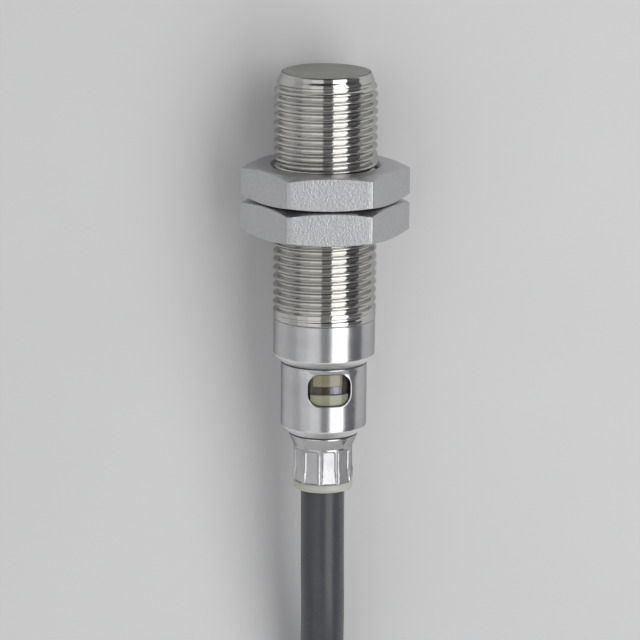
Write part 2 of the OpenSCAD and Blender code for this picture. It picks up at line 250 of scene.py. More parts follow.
def lathe(name, rings, phis, sharp=32, body="root"):
    """Rings of (s, r), or of one (s, r) for each phi; the last ring joins the first."""
    sections = []
    for ring in rings:
        pairs = ring if isinstance(ring, list) else [ring] * len(phis)
        sections.append([place(s, r, phi) for (s, r), phi in zip(pairs, phis)])
    verts, faces = sweep(sections, loop=True)
    return mesh_piece(name, verts, faces, sharp, body)


def angles(n):
    return [2 * math.pi * i / n for i in range(n)]


# ---------------------------------------------------------------- threaded housing
PITCH = 1.0
THREAD_DEPTH = 0.6134 * PITCH
FIRST_CREST = 0.85
THREAD_END = 28.7
RUN_OUT, RUN_OUT_PAST = 1.8, 0.4
PLAIN_R = 5.95
LEAD_IN_R, LEAD_IN_L = 5.16, 1.9
BORE_R = 4.9
FACE_T = 0.6
# (place within the pitch, depth as a share of the thread's)
THREAD_PROFILE = [
    (-0.08, 0.05), (-0.035, 0), (0.035, 0), (0.08, 0.05), (0.18, 0.35), (0.27, 0.66),
    (0.36, 0.94), (0.42, 1), (0.58, 1), (0.64, 0.94), (0.73, 0.66), (0.82, 0.35),
]
FACE_EDGE = 0.05
LEAD_IN_GROOVE = 0.03


def thread_radius(s, depth):
    """The radius at a depth from 0, a crest, to 1, a root, inside the lead-in cone."""
    cone = LEAD_IN_R + (THREAD_R - LEAD_IN_R) * s / LEAD_IN_L
    cone -= LEAD_IN_GROOVE * depth * smoothstep(0.1, 0.5, s)
    fade = smoothstep(THREAD_END - RUN_OUT, THREAD_END + RUN_OUT_PAST, s)
    crest = THREAD_R + (PLAIN_R - THREAD_R) * fade
    return min(crest, THREAD_R - THREAD_DEPTH * (depth - fade), cone)


def threaded_housing():
    """A right-hand thread as one grid whose rows climb a pitch in every turn."""
    n = 160
    per_pitch = len(THREAD_PROFILE)
    row_count = per_pitch * (int(THREAD_END / PITCH) + 3)
    verts = [place(FACE_EDGE, LEAD_IN_R, phi) for phi in angles(n)]
    verts += [place(THREAD_END, PLAIN_R, phi) for phi in angles(n)]
    grid = []
    for row in range(row_count):
        turn, part = divmod(row, per_pitch)
        phase, depth = THREAD_PROFILE[part]
        line = []
        for i, phi in enumerate(angles(n)):
            s = FIRST_CREST + (turn - 1 + phase) * PITCH - PITCH * i / n
            if s <= FACE_EDGE:
                line.append(i)
            elif s >= THREAD_END:
                line.append(n + i)
            else:
                line.append(len(verts))
                verts.append(place(s, thread_radius(s, depth), phi))
        grid.append(line)
    faces = []
    for row in range(row_count - 1):
        for i in range(n):
            if i < n - 1:
                corners = [grid[row][i], grid[row][i + 1], grid[row + 1][i + 1], grid[row + 1][i]]
            elif row >= per_pitch:
                # the last column meets the first one a pitch nearer the face
                near, far = grid[row - per_pitch], grid[row - per_pitch + 1]
                corners = [grid[row][i], near[0], far[0], grid[row + 1][i]]
            else:
                continue
            # where the grid is cut off by an end of the thread, corners fall together
            loop = [c for k, c in enumerate(corners) if c != corners[k - 1]]
            if len(set(loop)) > 2:
                faces.append(tuple(loop))

    def close_with(previous, rings):
        """Adds rings of (s, r) after the one that starts at previous, and caps the last."""
        for s, r in rings:
            start = len(verts)
            verts.extend(place(s, r, phi) for phi in angles(n))
            faces.extend(strip(previous, start, n))
            previous = start
        faces.append(tuple(range(previous, previous + n)))

    # the plain band, the rear edge and the bore up to the back of the face
    close_with(n, [
        (HOUSING_L - 0.15, PLAIN_R), (HOUSING_L - 0.1, PLAIN_R - 0.01), (HOUSING_L - 0.03, PLAIN_R - 0.06),
        (HOUSING_L, PLAIN_R - 0.13), (HOUSING_L, BORE_R + 0.08), (HOUSING_L - 0.08, BORE_R),
        (FACE_T, BORE_R),
    ])
    # the sensing face
    close_with(0, [(0.015, LEAD_IN_R - 0.06), (0, LEAD_IN_R - 0.14), (0, 4.2), (0, 2.8), (0, 1.4)])
    return mesh_piece("steel_housing", verts, faces, sharp=40)


housing = threaded_housing()
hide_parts("threaded_housing")

# ---------------------------------------------------------------- nuts
NUT_BORE_R = 6.05
SINK_R = 6.4
NUT_CHAMFER_R = 8.1
NUT_RISE = math.tan(15 * DEG)
NUT_EDGE = 0.06


def hexagon(half, fillet, per_flat, per_corner):
    """(radius, phi) round a hexagon with rounded corners; one flat looks straight up."""
    points = []
    reach = (half - fillet) * math.tan(30 * DEG)
    for side in range(6):
        middle = side * 60 * DEG
        for i in range(per_flat + 1):
            u = reach * (2 * i / per_flat - 1)
            points.append((math.hypot(half, u), middle + math.atan2(u, half)))
        corner = (half - fillet) / math.cos(30 * DEG)
        for i in range(1, per_corner):
            turned = 60 * DEG * i / per_corner - 30 * DEG
            x = corner + fillet * math.cos(turned)
            y = fillet * math.sin(turned)
            points.append((math.hypot(x, y), middle + 30 * DEG + math.atan2(y, x)))
    return points


def lock_nut(node):
    """A nut that rides on the body of its own name."""
    start, end = s_range(node)
    half = (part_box(node)[1][2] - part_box(node)[0][2]) / 2 / MM
    outline = hexagon(half, 0.22, 18, 5)
    phis = [phi for r, phi in outline]

    def rise(r):
        return max(0.0, NUT_RISE * (r - NUT_CHAMFER_R))

    def front_rings():
        """From the bore out to the middle of the side, as (depth below the face, radius)."""
        sink = SINK_R - NUT_BORE_R
        yield (sink, NUT_BORE_R)
        yield (0.05, SINK_R - 0.04)
        yield (0.0, SINK_R + 0.05)
        yield (0.0, NUT_CHAMFER_R - 0.08)
        yield (0.012, NUT_CHAMFER_R + 0.05)
        yield [(rise(r - NUT_EDGE), r - NUT_EDGE) for r, phi in outline]
        yield [(rise(r) + NUT_EDGE * 0.35, r - NUT_EDGE * 0.3) for r, phi in outline]
        yield [(rise(r) + NUT_EDGE * 1.1, r) for r, phi in outline]
        yield [(rise(r) + NUT_EDGE * 2.5, r) for r, phi in outline]

    def shifted(ring, base, sign):
        if isinstance(ring, list):
            return [(base + sign * depth, r) for depth, r in ring]
        return (base + sign * ring[0], ring[1])

    rings = [shifted(ring, start, 1) for ring in front_rings()]
    rings += [shifted(ring, end, -1) for ring in reversed(list(front_rings()))]
    nut = lathe(node + "_hexagon", rings, phis, sharp=28, body=node)
    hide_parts(node)
    return nut


nuts = [lock_nut(node) for node in ("front_nut", "rear_nut")]


# ---------------------------------------------------------------- rear shell
WINDOW_TURN = 5.4 * DEG
WINDOW_L, WINDOW_W, WINDOW_CORNER = 3.75, 4.95, 1.4
BARREL_R, BARREL_BORE_R = 5.0, 4.05
NECK_BORE_R = 2.9
RIM = 0.14
WALL_SAG = 0.2
CRIMP_START, CRIMP_END = 44.5, SHELL_END
CRIMP_TURN = -9 * DEG
RIB_PITCH = 36 * DEG
RIB_R, RIB_FLARE = 3.42, 0.13
CREASE_W, CREASE_DEPTH = 0.07, 0.05
APOTHEM, FLAT_FLARE = 3.2, 0.17
FLAT_HALF_W, FLAT_CORNER = 0.72, 0.3
FLARE_START = 46.8
CONE_START, CONE_L, CONE_R, CONE_SLOPE = 43, 1.2, 3.945, 0.43
NECK_START = 44.26
DENT_START, DENT_L, DENT_TURN, DENT_SLANT = 43.05, 0.75, 36 * DEG, 1.9
DENT_DEPTH, DENT_AT_R = 0.02, 3.8
COLUMNS = 480
PATCH_ROWS = 20
PATCH_S = [34.38 + 4.8 * i / PATCH_ROWS for i in range(PATCH_ROWS + 1)]
# (s, r) along the spigot with its groove, the collar and the first undercut
SHELL_FRONT = [
    (25.0, 4.74), (25.03, 4.84), (25.12, 4.88), (26.55, 4.88), (26.55, 4.4), (27.05, 4.4),
    (27.05, 4.88), (28.97, 4.88), (HOUSING_L, 4.95), (HOUSING_L, 5.76), (29.02, 5.83), (29.08, 5.88),
    (29.2, 5.9), (31, 5.9), (32.9, 5.9), (33.02, 5.9), (33.15, 5.89), (33.25, 5.855), (33.34, 5.79),
    (34.13, 5.0), (34.16, 4.9), (34.21, 4.85), (34.27, 4.89), (34.3, 4.985), (34.34, 5.0),
]
# (s, r) along the barrel behind the window, its chamfer and the second undercut
SHELL_REAR = [
    (40.5, 5.0), (41.4, 5.0), (41.52, 5.0), (41.67, 4.985), (41.8, 4.93), (41.92, 4.83), (42.58, 4.1),
    (42.64, 4.03), (42.67, 3.9), (42.73, 3.85), (42.79, 3.89), (42.82, 3.98), (42.87, 3.99),
]
# (share of the way in from the patch's border, distance from the window's outline, radius)
WINDOW_LOOPS = [
    (0.1, RIM, BARREL_R), (0.55, RIM, BARREL_R), (0.93, RIM, BARREL_R), (1, RIM, BARREL_R),
    (1, RIM * 0.6, BARREL_R - 0.02), (1, RIM * 0.25, BARREL_R - 0.07), (1, 0, BARREL_R - 0.15),
    (1, 0, 4.5), (1, 0, BARREL_BORE_R),
]


def rounded_reach(x, y, half_x, half_y, corner):
    """How far from its middle a rounded rectangle reaches in the direction (x, y)."""
    size = math.hypot(x, y)
    x, y = abs(x) / size, abs(y) / size
    near, far = 0.0, half_x + half_y
    for _ in range(40):
        t = (near + far) / 2
        a, b = t * x - (half_x - corner), t * y - (half_y - corner)
        outside = math.hypot(max(a, 0), max(b, 0)) + min(max(a, b), 0) - corner
        near, far = (t, far) if outside < 0 else (near, t)
    return near


def from_rib(phi):
    """The angle from the middle of the nearest rib."""
    return (phi - CRIMP_TURN + RIB_PITCH / 2) % RIB_PITCH - RIB_PITCH / 2


def flare(s):
    """0 along the neck, growing to 1 at its rear end."""
    return max(0.0, (s - FLARE_START) / (CRIMP_END - FLARE_START))


def pressed(s, phi):
    """How far the crimp has pressed the neck here: 0 on the ribs and the cone, 1 on a flat."""
    across = 3.3 * (RIB_PITCH / 2 - abs(from_rib(phi)))
    a = across - (FLAT_HALF_W + 0.1 * flare(s) - FLAT_CORNER)
    b = (CRIMP_START + FLAT_CORNER) - s
    edge = math.hypot(max(a, 0), max(b, 0)) + min(max(a, b), 0) - FLAT_CORNER
    return 1 - smoothstep(-0.05, 0.07, edge)


def crimp_radius(s, phi):
    """The crimped neck: flats with creased ribs between them, flared at the rear."""
    t = from_rib(phi)
    flat = (APOTHEM + FLAT_FLARE * flare(s)) / math.cos(RIB_PITCH / 2 - abs(t))
    rib = RIB_R + RIB_FLARE * smoothstep(46.6, 47.2, s)
    rib -= CREASE_DEPTH * math.exp(-(3.4 * t / CREASE_W) ** 2) * smoothstep(44.6, 45.0, s)
    return rib + (flat - rib) * pressed(s, phi)


def in_dent(s, phi):
    """How far inside the three-cornered dent, as a share of its length; less than 0 outside it."""
    x, w = (s - DENT_START) / DENT_L, (phi - DENT_TURN) * DENT_AT_R / DENT_L
    return min(x, 1 - x - abs(w) * DENT_SLANT)


def cone_radius(s, phi):
    """The cone in front of the crimp, with one small dent."""
    return CONE_R - CONE_SLOPE * (s - CONE_START) - DENT_DEPTH * smoothstep(0, 0.14, in_dent(s, phi))


def shell_rings(phis):
    """Rings over the outside and back through the bore, and where the patch starts on each."""
    outer = SHELL_FRONT + [(s, BARREL_R) for s in PATCH_S] + SHELL_REAR
    rings = [[pair] * COLUMNS for pair in outer]
    for i in range(21):
        s = CONE_START + CONE_L * i / 20
        rings.append([(s, cone_radius(s, phi)) for phi in phis])
    steps = 50
    for i in range(steps + 1):
        s = NECK_START + (CRIMP_END - 0.14 - NECK_START) * i / steps
        rings.append([(s, crimp_radius(s, phi)) for phi in phis])
    # the ribs reach a little further back than the flats
    for inset, depth in [(0.0, 0.04), (0.03, 0.012), (0.09, 0.0)]:
        rings.append([
            (CRIMP_END - depth - 0.07 * pressed(CRIMP_END, phi), crimp_radius(CRIMP_END, phi) - inset)
            for phi in phis
        ])
    bore = [
        (CRIMP_END - 0.07, NECK_BORE_R + 0.05), (CRIMP_END - 0.12, NECK_BORE_R), (42.75, NECK_BORE_R),
        (41.15, BARREL_BORE_R),
    ]
    inside = len(rings) + len(bore)
    bore += [(s, BARREL_BORE_R) for s in reversed(PATCH_S)]
    bore += [(25.1, BARREL_BORE_R), (25.0, BARREL_BORE_R + 0.1)]
    return rings + [[pair] * COLUMNS for pair in bore], len(SHELL_FRONT), inside


def patch_border(left, right):
    """The (row, column) places round the window's patch, clockwise from its first corner."""
    border = [(0, col) for col in range(left, right)]
    border += [(row, right) for row in range(PATCH_ROWS)]
    border += [(PATCH_ROWS, col) for col in range(right, left, -1)]
    border += [(row, left) for row in range(PATCH_ROWS, 0, -1)]
    return border


def toward_window(row, col, share, offset, r):
    """A point between a place on the patch's border (share 0) and the window's outline (share 1)."""
    s, turn = PATCH_S[row], 2 * math.pi * col / COLUMNS - WINDOW_TURN
    x, w = s - WINDOW_S, BARREL_R * math.sin(turn)
    reach = offset + rounded_reach(x, w, WINDOW_L / 2, WINDOW_W / 2, WINDOW_CORNER)
    size = math.hypot(x, w)
    rim_s = WINDOW_S + x / size * reach
    rim_turn = math.asin(w / size * reach / r)
    # the wall is drawn in a little between the collar and the window
    sag = WALL_SAG * share * smoothstep(1.2, 1.8, WINDOW_S - rim_s)
    return place(s + (rim_s - s) * share, r - sag, WINDOW_TURN + turn + (rim_turn - turn) * share)


def rear_shell():
    """A closed grid of rings; a patch is left out of both walls, and the window's opening joins them."""
    phis = angles(COLUMNS)
    rings, outside, inside = shell_rings(phis)
    middle = round(WINDOW_TURN / (2 * math.pi) * COLUMNS)
    left, right = middle - COLUMNS // 8, middle + COLUMNS // 8
    verts = [place(s, r, phi) for ring in rings for (s, r), phi in zip(ring, phis)]
    faces = []
    for row in range(len(rings)):
        below = (row + 1) % len(rings)
        holed = any(start <= row < start + PATCH_ROWS for start in (outside, inside))
        for col in range(COLUMNS):
            if holed and (col - left) % COLUMNS < right - left:
                continue
            beside = (col + 1) % COLUMNS
            faces.append((
                row * COLUMNS + col, row * COLUMNS + beside,
                below * COLUMNS + beside, below * COLUMNS + col,
            ))
    border = patch_border(left, right)
    count = len(border)
    loops = [[(outside + row) * COLUMNS + col % COLUMNS for row, col in border]]
    for share, offset, r in WINDOW_LOOPS:
        loops.append(list(range(len(verts), len(verts) + count)))
        verts += [toward_window(row, col, share, offset, r) for row, col in border]
    # the bore has the patch's rows in the other order
    loops.append([(inside + PATCH_ROWS - row) * COLUMNS + col % COLUMNS for row, col in border])
    for a, b in zip(loops, loops[1:]):
        faces += [(a[i], a[(i + 1) % count], b[(i + 1) % count], b[i]) for i in range(count)]
    return mesh_piece("steel_rear_shell", verts, faces, sharp=38)


shell = rear_shell()
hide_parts("rear_shell")

# ---------------------------------------------------------------- cable seal
CABLE_R = CABLE_D / 2
seal_rings = [
    (42.95, CABLE_R), (42.95, NECK_BORE_R), (CRIMP_END, NECK_BORE_R), (CRIMP_END, 3.3), (48.42, 3.4),
    (48.5, 3.46), (48.62, 3.5), (48.8, 3.515), (48.97, 3.505), (49.1, 3.48), (49.22, 3.43), (49.31, 3.36),
    (49.38, 3.27), (49.43, 3.16), (49.47, 3.02), (49.49, 2.9), (BODY_L, 2.8), (BODY_L, CABLE_R),
]
seal = lathe("cable_outlet_seal", seal_rings, angles(128), sharp=60)
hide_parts("cable_seal")


# ---------------------------------------------------------------- cable jacket
def tube(name, points, diameter, n):
    """A round tube along points in mm, turned no more than its line, with its end edges eased."""
    line = [Vector(p) for p in points]
    side = Vector((0, 1, 0))
    sections = []
    last = len(line) - 1
    for i, point in enumerate(line):
        ahead = (line[min(i + 1, last)] - line[max(i - 1, 0)]).normalized()
        side = (side - side.dot(ahead) * ahead).normalized()
        rise = ahead.cross(side)
        ease = 0.04 * diameter
        steps = [(0, 0)]
        if i == 0:
            steps = [(0, ease), (ease * 0.3, ease * 0.3), (ease, 0)]
        elif i == last:
            steps = [(-ease, 0), (-ease * 0.3, ease * 0.3), (0, ease)]
        for shift, inset in steps:
            r = diameter / 2 - inset
            sections.append([
                (point + shift * ahead + r * (math.cos(a) * side + math.sin(a) * rise)) * MM
                for a in angles(n)
            ])
    verts, faces = sweep(sections)
    return mesh_piece(name, verts, faces, sharp=40)


jacket = tube("cable_jacket", jacket_line, CABLE_D, 28)
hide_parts("cable_run", "cable_hank", "cable_tail")

# ---------------------------------------------------------------- light ring and window insert
RING_FROM, RING_TO = WINDOW_S - 2.5, WINDOW_S + 2.5
RING_IN_R = 3.55
PAD_GAP = 0.04


def ring_band():
    """The split ring behind the window."""
    slot = 0.3 / BARREL_BORE_R
    sections = []
    for i in range(97):
        phi = WINDOW_TURN + math.pi + slot + (2 * math.pi - 2 * slot) * i / 96
        section = [
            (RING_FROM, RING_IN_R), (RING_FROM, BARREL_BORE_R - 0.1), (RING_FROM + 0.1, BARREL_BORE_R),
            (RING_TO - 0.1, BARREL_BORE_R), (RING_TO, BARREL_BORE_R - 0.1), (RING_TO, RING_IN_R),
        ]
        sections.append([place(s, r, phi) for s, r in section])
    return sweep(sections)


def window_block(x_from, x_to, w_from, w_to, r_top, r_base=3.9, crown=0.0):
    """A block in the window's outline: x runs along the axis from the window's middle, w across."""
    half_l, half_w = WINDOW_L / 2 - PAD_GAP, WINDOW_W / 2 - PAD_GAP
    corner = WINDOW_CORNER - PAD_GAP
    lines = [0, 0.025, 0.06, 0.12, 0.2, 0.3, 0.4, 0.5, 0.6, 0.7, 0.8, 0.88, 0.94, 0.975, 1]
    last = len(lines) - 1
    # the top's edges are rounded
    drop = {0: 0.06, 1: 0.015, last - 1: 0.015, last: 0.06}
    top, base = [], []
    for j, b in enumerate(lines):
        x = max(-half_l, x_from) + (min(half_l, x_to) - max(-half_l, x_from)) * b
        over = max(0.0, abs(x) - (half_l - corner))
        width = half_w - corner + math.sqrt(max(0.0, corner ** 2 - over ** 2))
        left, right = max(w_from, -width), min(w_to, width)
        for i, a in enumerate(lines):
            w = left + (right - left) * a
            r = r_top + crown * (1 - (2 * a - 1) ** 2) - max(drop.get(i, 0), drop.get(j, 0))
            top.append(place(WINDOW_S + x, r, WINDOW_TURN + math.asin(w / r)))
            base.append(place(WINDOW_S + x, r_base, WINDOW_TURN + math.asin(w / r_base)))
    n = len(lines)
    verts, faces = top + base, []
    for j in range(last):
        for i in range(last):
            k = j * n + i
            faces.append((k, k + 1, k + n + 1, k + n))
            faces.append((k + n * n, k + n + n * n, k + n + 1 + n * n, k + 1 + n * n))
    rim = [i for i in range(n)] + [j * n + last for j in range(1, n)]
    rim += [last * n + i for i in range(last - 1, -1, -1)] + [j * n for j in range(last - 1, 0, -1)]
    for a, b in zip(rim, rim[1:] + rim[:1]):
        faces.append((a, b, b + n * n, a + n * n))
    return verts, faces


def window_insert():
    """The ring with what shows through the window, and each face's surface: dark, olive, green, or lighter
    purple-grey as a painted reflection.
    """
    wide = WINDOW_W
    pad = window_block(-wide, wide, -wide, wide, 4.16)
    olive_lens = window_block(-wide, -0.42, -1.95, 1.5, 4.6, crown=0.03)
    green_lens = window_block(0.58, wide, -2.2, 2.25, 4.6, crown=0.03)
    # a raised block coloured lighter purple-grey: a painted reflection on the dark band
    light = window_block(-0.4, 0.5, 0.1, 1.5, 4.36, crown=0.08)
    verts, faces, numbers = joined([ring_band(), pad, olive_lens, green_lens, light])
    return mesh_piece("window_light_ring", verts, faces, sharp=35), [max(0, k - 1) for k in numbers]


insert, insert_surfaces = window_insert()
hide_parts("light_ring")

# ---------------------------------------------------------------- cores, ferrules and ties
FERRULE_L, FERRULE_R = 6, 0.5
cores = {}
for colour, route in CORE_ROUTES.items():
    core = tube("core_" + colour, smooth_route(route, 5), CORE_D, 16)
    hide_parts("tail_core_" + colour)
    cores[colour] = core


def ferrule(route):
    """A crimped sleeve on a bared core: a flared mouth, a barrel with pressed bands and a round end."""
    before, end = Vector(route[-2]), Vector(route[-1])
    along = Vector((end.x - before.x, end.y - before.y, 0)).normalized()
    side, rise = Vector((-along.y, along.x, 0)), Vector((0, 0, 1))
    profile = [(0, 0.3), (0, 0.62), (0.08, 0.64), (0.5, 0.6), (0.8, FERRULE_R), (1.4, FERRULE_R)]
    for band in range(4):
        at = 1.5 + band
        profile += [(at, FERRULE_R), (at + 0.12, 0.44), (at + 0.6, 0.44), (at + 0.72, FERRULE_R)]
    profile += [(FERRULE_L - 0.15, FERRULE_R), (FERRULE_L - 0.03, 0.44), (FERRULE_L, 0.3)]
    sections = []
    for at, r in profile:
        sections.append([
            (end + along * at + r * (math.cos(a) * side + math.sin(a) * rise)) * MM for a in angles(24)
        ])
    return sweep(sections)


verts, faces, _ = joined([ferrule(route) for route in CORE_ROUTES.values()])
ferrules = mesh_piece("core_end_ferrules", verts, faces, sharp=25)
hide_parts("core_ferrules")

TIE_T, TIE_W, TIE_GAP = 0.6, 4.0, 0.05
TIE_BASE_Z = 0.7 + CABLE_R
LAP_DROP, LAP_L = 3, 11


def band_path(side, lift):
    """The line of a strap stretched round the strands, as (y, z, outward y, outward z) in mm."""
    half, top = LANE_PITCH / 2, (LAYERS - 1) * LANE_PITCH
    centres = [(-half, 0), (half, 0), (half, top), (-half, top - LANE_PITCH)]
    middle = HANK_Y + side * (OUTER_R + INNER_R) / 2
    outs = []
    for (y0, z0), (y1, z1) in zip(centres, centres[1:] + centres[:1]):
        size = math.hypot(y1 - y0, z1 - z0)
        outs.append(math.atan2(-(y1 - y0) / size, (z1 - z0) / size))
    path = []
    r = CABLE_R + TIE_GAP + TIE_T / 2 + lift
    for i, (y, z) in enumerate(centres):
        a, b = outs[i - 1], outs[i]
        b += 2 * math.pi * math.ceil((a - b) / (2 * math.pi))
        for k in range(9):
            t = a + (b - a) * k / 8
            path.append((
                middle + y + r * math.cos(t), TIE_BASE_Z + z + r * math.sin(t), math.cos(t), math.sin(t)
            ))
    return path


def strap(path, x, loop):
    """A flat strap with rounded edges along a path."""
    half_t, half_w, edge = TIE_T / 2 - 0.01, TIE_W / 2, 0.14
    outline = [
        (half_t, half_w - edge), (half_t - 0.04, half_w - 0.04), (half_t - edge, half_w),
        (-half_t + edge, half_w), (-half_t + 0.04, half_w - 0.04), (-half_t, half_w - edge),
        (-half_t, -half_w + edge), (-half_t + 0.04, -half_w + 0.04), (-half_t + edge, -half_w),
        (half_t - edge, -half_w), (half_t - 0.04, -half_w + 0.04), (half_t, -half_w + edge),
    ]
    return sweep([
        [Vector((x + w, y + t * out_y, z + t * out_z)) * MM for t, w in outline]
        for y, z, out_y, out_z in path
    ], loop)


def hank_tie(name, node, x, side):
    """A hook-and-loop strap whose end laps over itself on the outside."""
    base = strap(band_path(side, 0), x, True)
    outside = [p for p in band_path(side, TIE_T) if p[2] > 0.99]
    y, z, _, _ = max(outside, key=lambda p: p[1])
    end = strap([(y, z - LAP_DROP - LAP_L * i / 8, 1, 0) for i in range(9)], x, False)
    verts, faces, _ = joined([base, end])
    tie = mesh_piece(name, verts, faces, sharp=50)
    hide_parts(node)
    return tie


ties = [
    hank_tie("hank_strap_front", "hank_tie_front", (HANK_NEAR_X + HANK_FAR_X) / 2, 1),
    hank_tie("hank_strap_rear", "hank_tie_rear", HANK_FAR_X + 3, -1),
]


# ---------------------------------------------------------------- materials
class Surface:
    """A Principled material whose colour, roughness and relief come from procedural textures."""

    def __init__(self, name, roughness, metallic=0.0, **sockets):
        self.material = bpy.data.materials.new(name)
        self.material.use_nodes = True
        self.nodes = self.material.node_tree.nodes
        self.links = self.material.node_tree.links
        self.shader = self.nodes["Principled BSDF"]
        self.shader.inputs["Roughness"].default_value = roughness
        self.shader.inputs["Metallic"].default_value = metallic
        for socket, value in sockets.items():
            self.shader.inputs[socket.replace("_", " ")].default_value = value
        self.coordinates = self.nodes.new("ShaderNodeTexCoord").outputs["Object"]
        self.height = None

    def texture(self, kind, per_mm, **sockets):
        """A texture with so many features to the millimetre along x, y and z."""
        mapping = self.nodes.new("ShaderNodeMapping")
        mapping.inputs["Scale"].default_value = [n / MM for n in per_mm]
        self.links.new(self.coordinates, mapping.inputs["Vector"])
        texture = self.nodes.new(kind)
        for socket, value in {"Scale": 1, **sockets}.items():
            texture.inputs[socket].default_value = value
        self.links.new(mapping.outputs["Vector"], texture.inputs["Vector"])
        return texture

    def noise(self, per_mm, detail=2.0, rough=0.5):
        return self.texture("ShaderNodeTexNoise", per_mm, Detail=detail, Roughness=rough).outputs["Fac"]

    def cells(self, per_mm):
        return self.texture("ShaderNodeTexVoronoi", per_mm).outputs["Distance"]

    def spread(self, fac, low, high, from_low=0.3, from_high=0.7):
        """A value that runs from low to high while fac runs from from_low to from_high."""
        spread = self.nodes.new("ShaderNodeMapRange")
        limits = {"From Min": from_low, "From Max": from_high, "To Min": low, "To Max": high}
        for socket, value in limits.items():
            spread.inputs[socket].default_value = value
        self.links.new(fac, spread.inputs["Value"])
        return spread.outputs["Result"]

    def mix(self, fac, a, b):
        """Colour a where fac is 0 and colour b where it is 1."""
        mix = self.nodes.new("ShaderNodeMix")
        mix.data_type = "RGBA"
        self.links.new(fac, mix.inputs["Factor"])
        mix.inputs["A"].default_value = (*a, 1)
        mix.inputs["B"].default_value = (*b, 1)
        return mix.outputs["Result"]

    def colour(self, value):
        self.links.new(value, self.shader.inputs["Base Color"])
        return self

    def rough(self, value):
        self.links.new(value, self.shader.inputs["Roughness"])
        return self

    def relief(self, value, depth_mm):
        """Adds fine relief to what is there already."""
        bump = self.nodes.new("ShaderNodeBump")
        bump.inputs["Distance"].default_value = depth_mm * MM
        bump.inputs["Strength"].default_value = 1
        self.links.new(value, bump.inputs["Height"])
        if self.height:
            self.links.new(self.height, bump.inputs["Normal"])
        self.height = bump.outputs["Normal"]
        self.links.new(self.height, self.shader.inputs["Normal"])
        return self


# the specular tint makes polished steel darker towards its outline
def turned_steel():
    surface = Surface("turned_steel", 0.12, 1.0, Specular_Tint=(0.72, 0.72, 0.72, 1))
    patches = surface.noise((0.25, 0.12, 0.12), 3)
    lines = surface.noise((9, 0.05, 0.05), 2)
    surface.colour(surface.mix(surface.spread(patches, 0, 1), (0.575, 0.565, 0.54), (0.70, 0.685, 0.66)))
    surface.rough(surface.spread(lines, 0.07, 0.13))
    return surface.relief(lines, 0.004)


def nut_steel():
    surface = Surface("nut_steel", 0.4, 1.0)
    speckle = surface.noise((5.5, 5.5, 5.5), 2, 0.6)
    surface.colour(surface.mix(surface.spread(speckle, 0, 1), (0.50, 0.505, 0.515), (0.62, 0.62, 0.63)))
    surface.rough(surface.spread(speckle, 0.40, 0.30))
    return surface.relief(speckle, 0.045)


def satin_steel():
    surface = Surface("satin_steel", 0.22, 1.0, Specular_Tint=(0.62, 0.62, 0.63, 1))
    lines = surface.noise((12, 0.08, 0.08), 2)
    patches = surface.noise((0.4, 0.2, 0.2), 3)
    surface.colour(surface.mix(surface.spread(patches, 0, 1), (0.57, 0.57, 0.575), (0.66, 0.66, 0.66)))
    return surface.rough(surface.spread(lines, 0.19, 0.26))


def plastic(name, dark, light, roughness, grain=3.0, depth=0.006, **sockets):
    """A moulded or rubbery surface: a slight drift of colour and a fine grain."""
    surface = Surface(name, roughness, **sockets)
    drift = surface.noise((0.35, 0.35, 0.35), 3)
    fine = surface.noise((grain, grain, grain), 3, 0.6)
    surface.colour(surface.mix(surface.spread(drift, 0, 1), dark, light))
    surface.rough(surface.spread(fine, roughness * 0.88, min(1, roughness * 1.12)))
    return surface.relief(fine, depth)


def metal(name, dark, light, roughness, stretch=(3, 3, 3), depth=0.004):
    """A metal with a slight drift of colour and a fine grain, stretched along the axes."""
    surface = Surface(name, roughness, 1.0)
    drift = surface.noise((0.5, 0.5, 0.5), 3)
    fine = surface.noise(stretch, 3, 0.6)
    surface.colour(surface.mix(surface.spread(drift, 0, 1), dark, light))
    surface.rough(surface.spread(fine, roughness * 0.8, roughness * 1.25))
    return surface.relief(fine, depth)


def woven():
    """The looped black fabric of the ties."""
    surface = Surface("tie", 0.85, Sheen_Weight=0.35)
    loops = surface.cells((2.4, 2.4, 2.4))
    fuzz = surface.noise((7, 7, 7), 3, 0.7)
    depth = surface.spread(loops, 0, 1, 0.1, 0.6)
    surface.colour(surface.mix(depth, (0.028, 0.028, 0.03), (0.009, 0.009, 0.01)))
    surface.relief(loops, 0.12)
    return surface.relief(fuzz, 0.03)


